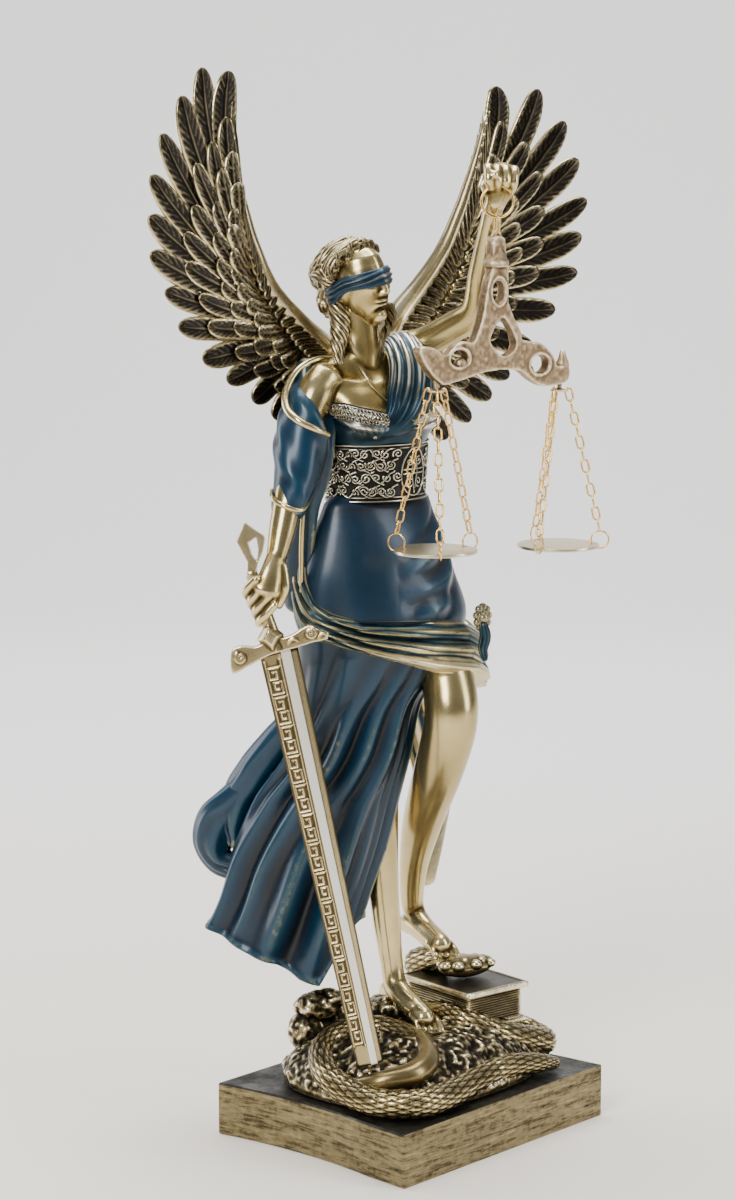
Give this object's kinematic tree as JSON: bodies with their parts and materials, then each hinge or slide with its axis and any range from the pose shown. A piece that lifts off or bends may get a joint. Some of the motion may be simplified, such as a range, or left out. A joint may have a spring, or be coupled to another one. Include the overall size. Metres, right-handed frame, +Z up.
{
  "type": "winged justice statuette",
  "caption": "Blindfolded winged figure of justice on a rocky mound, with a lowered sword and a hanging balance, on a low hollow-sided plinth.",
  "frame": {"origin": "centre of the plinth's underside", "axes": "+Z up; -Y out of the plinth's long front edge; the figure faces the corner between -X and -Y"},
  "size_m": [0.1352, 0.0938, 0.3035],
  "materials": {
    "plinth_bronze": "brushed antique bronze paint on cold-cast resin",
    "cast_figure": "cold-cast resin with polished antique gold skin and a blue painted gown",
    "feathers": "cold-cast resin, dark wash with pale gold rubbed over the feather edges",
    "sword_gold": "polished pale gold with a dark wash in the fret pattern",
    "beam_rose_gold": "cast metal, rose gold, slightly rough",
    "chain_gold": "bright gold-plated wire",
    "pan_gold": "stamped sheet, satin pale gold"
  },
  "bodies": {
    "root": {"plinth": "plinth_bronze", "figure": "cast_figure", "wing_right": "feathers", "wing_left": "feathers", "sword": "sword_gold", "hand_ring": "chain_gold", "scale_beam": "beam_rose_gold", "chain_left_1": "chain_gold", "chain_left_2": "chain_gold", "chain_left_3": "chain_gold", "chain_right_1": "chain_gold", "chain_right_2": "chain_gold", "chain_right_3": "chain_gold", "pan_left": "pan_gold", "pan_right": "pan_gold"}
  },
  "joints": []
}
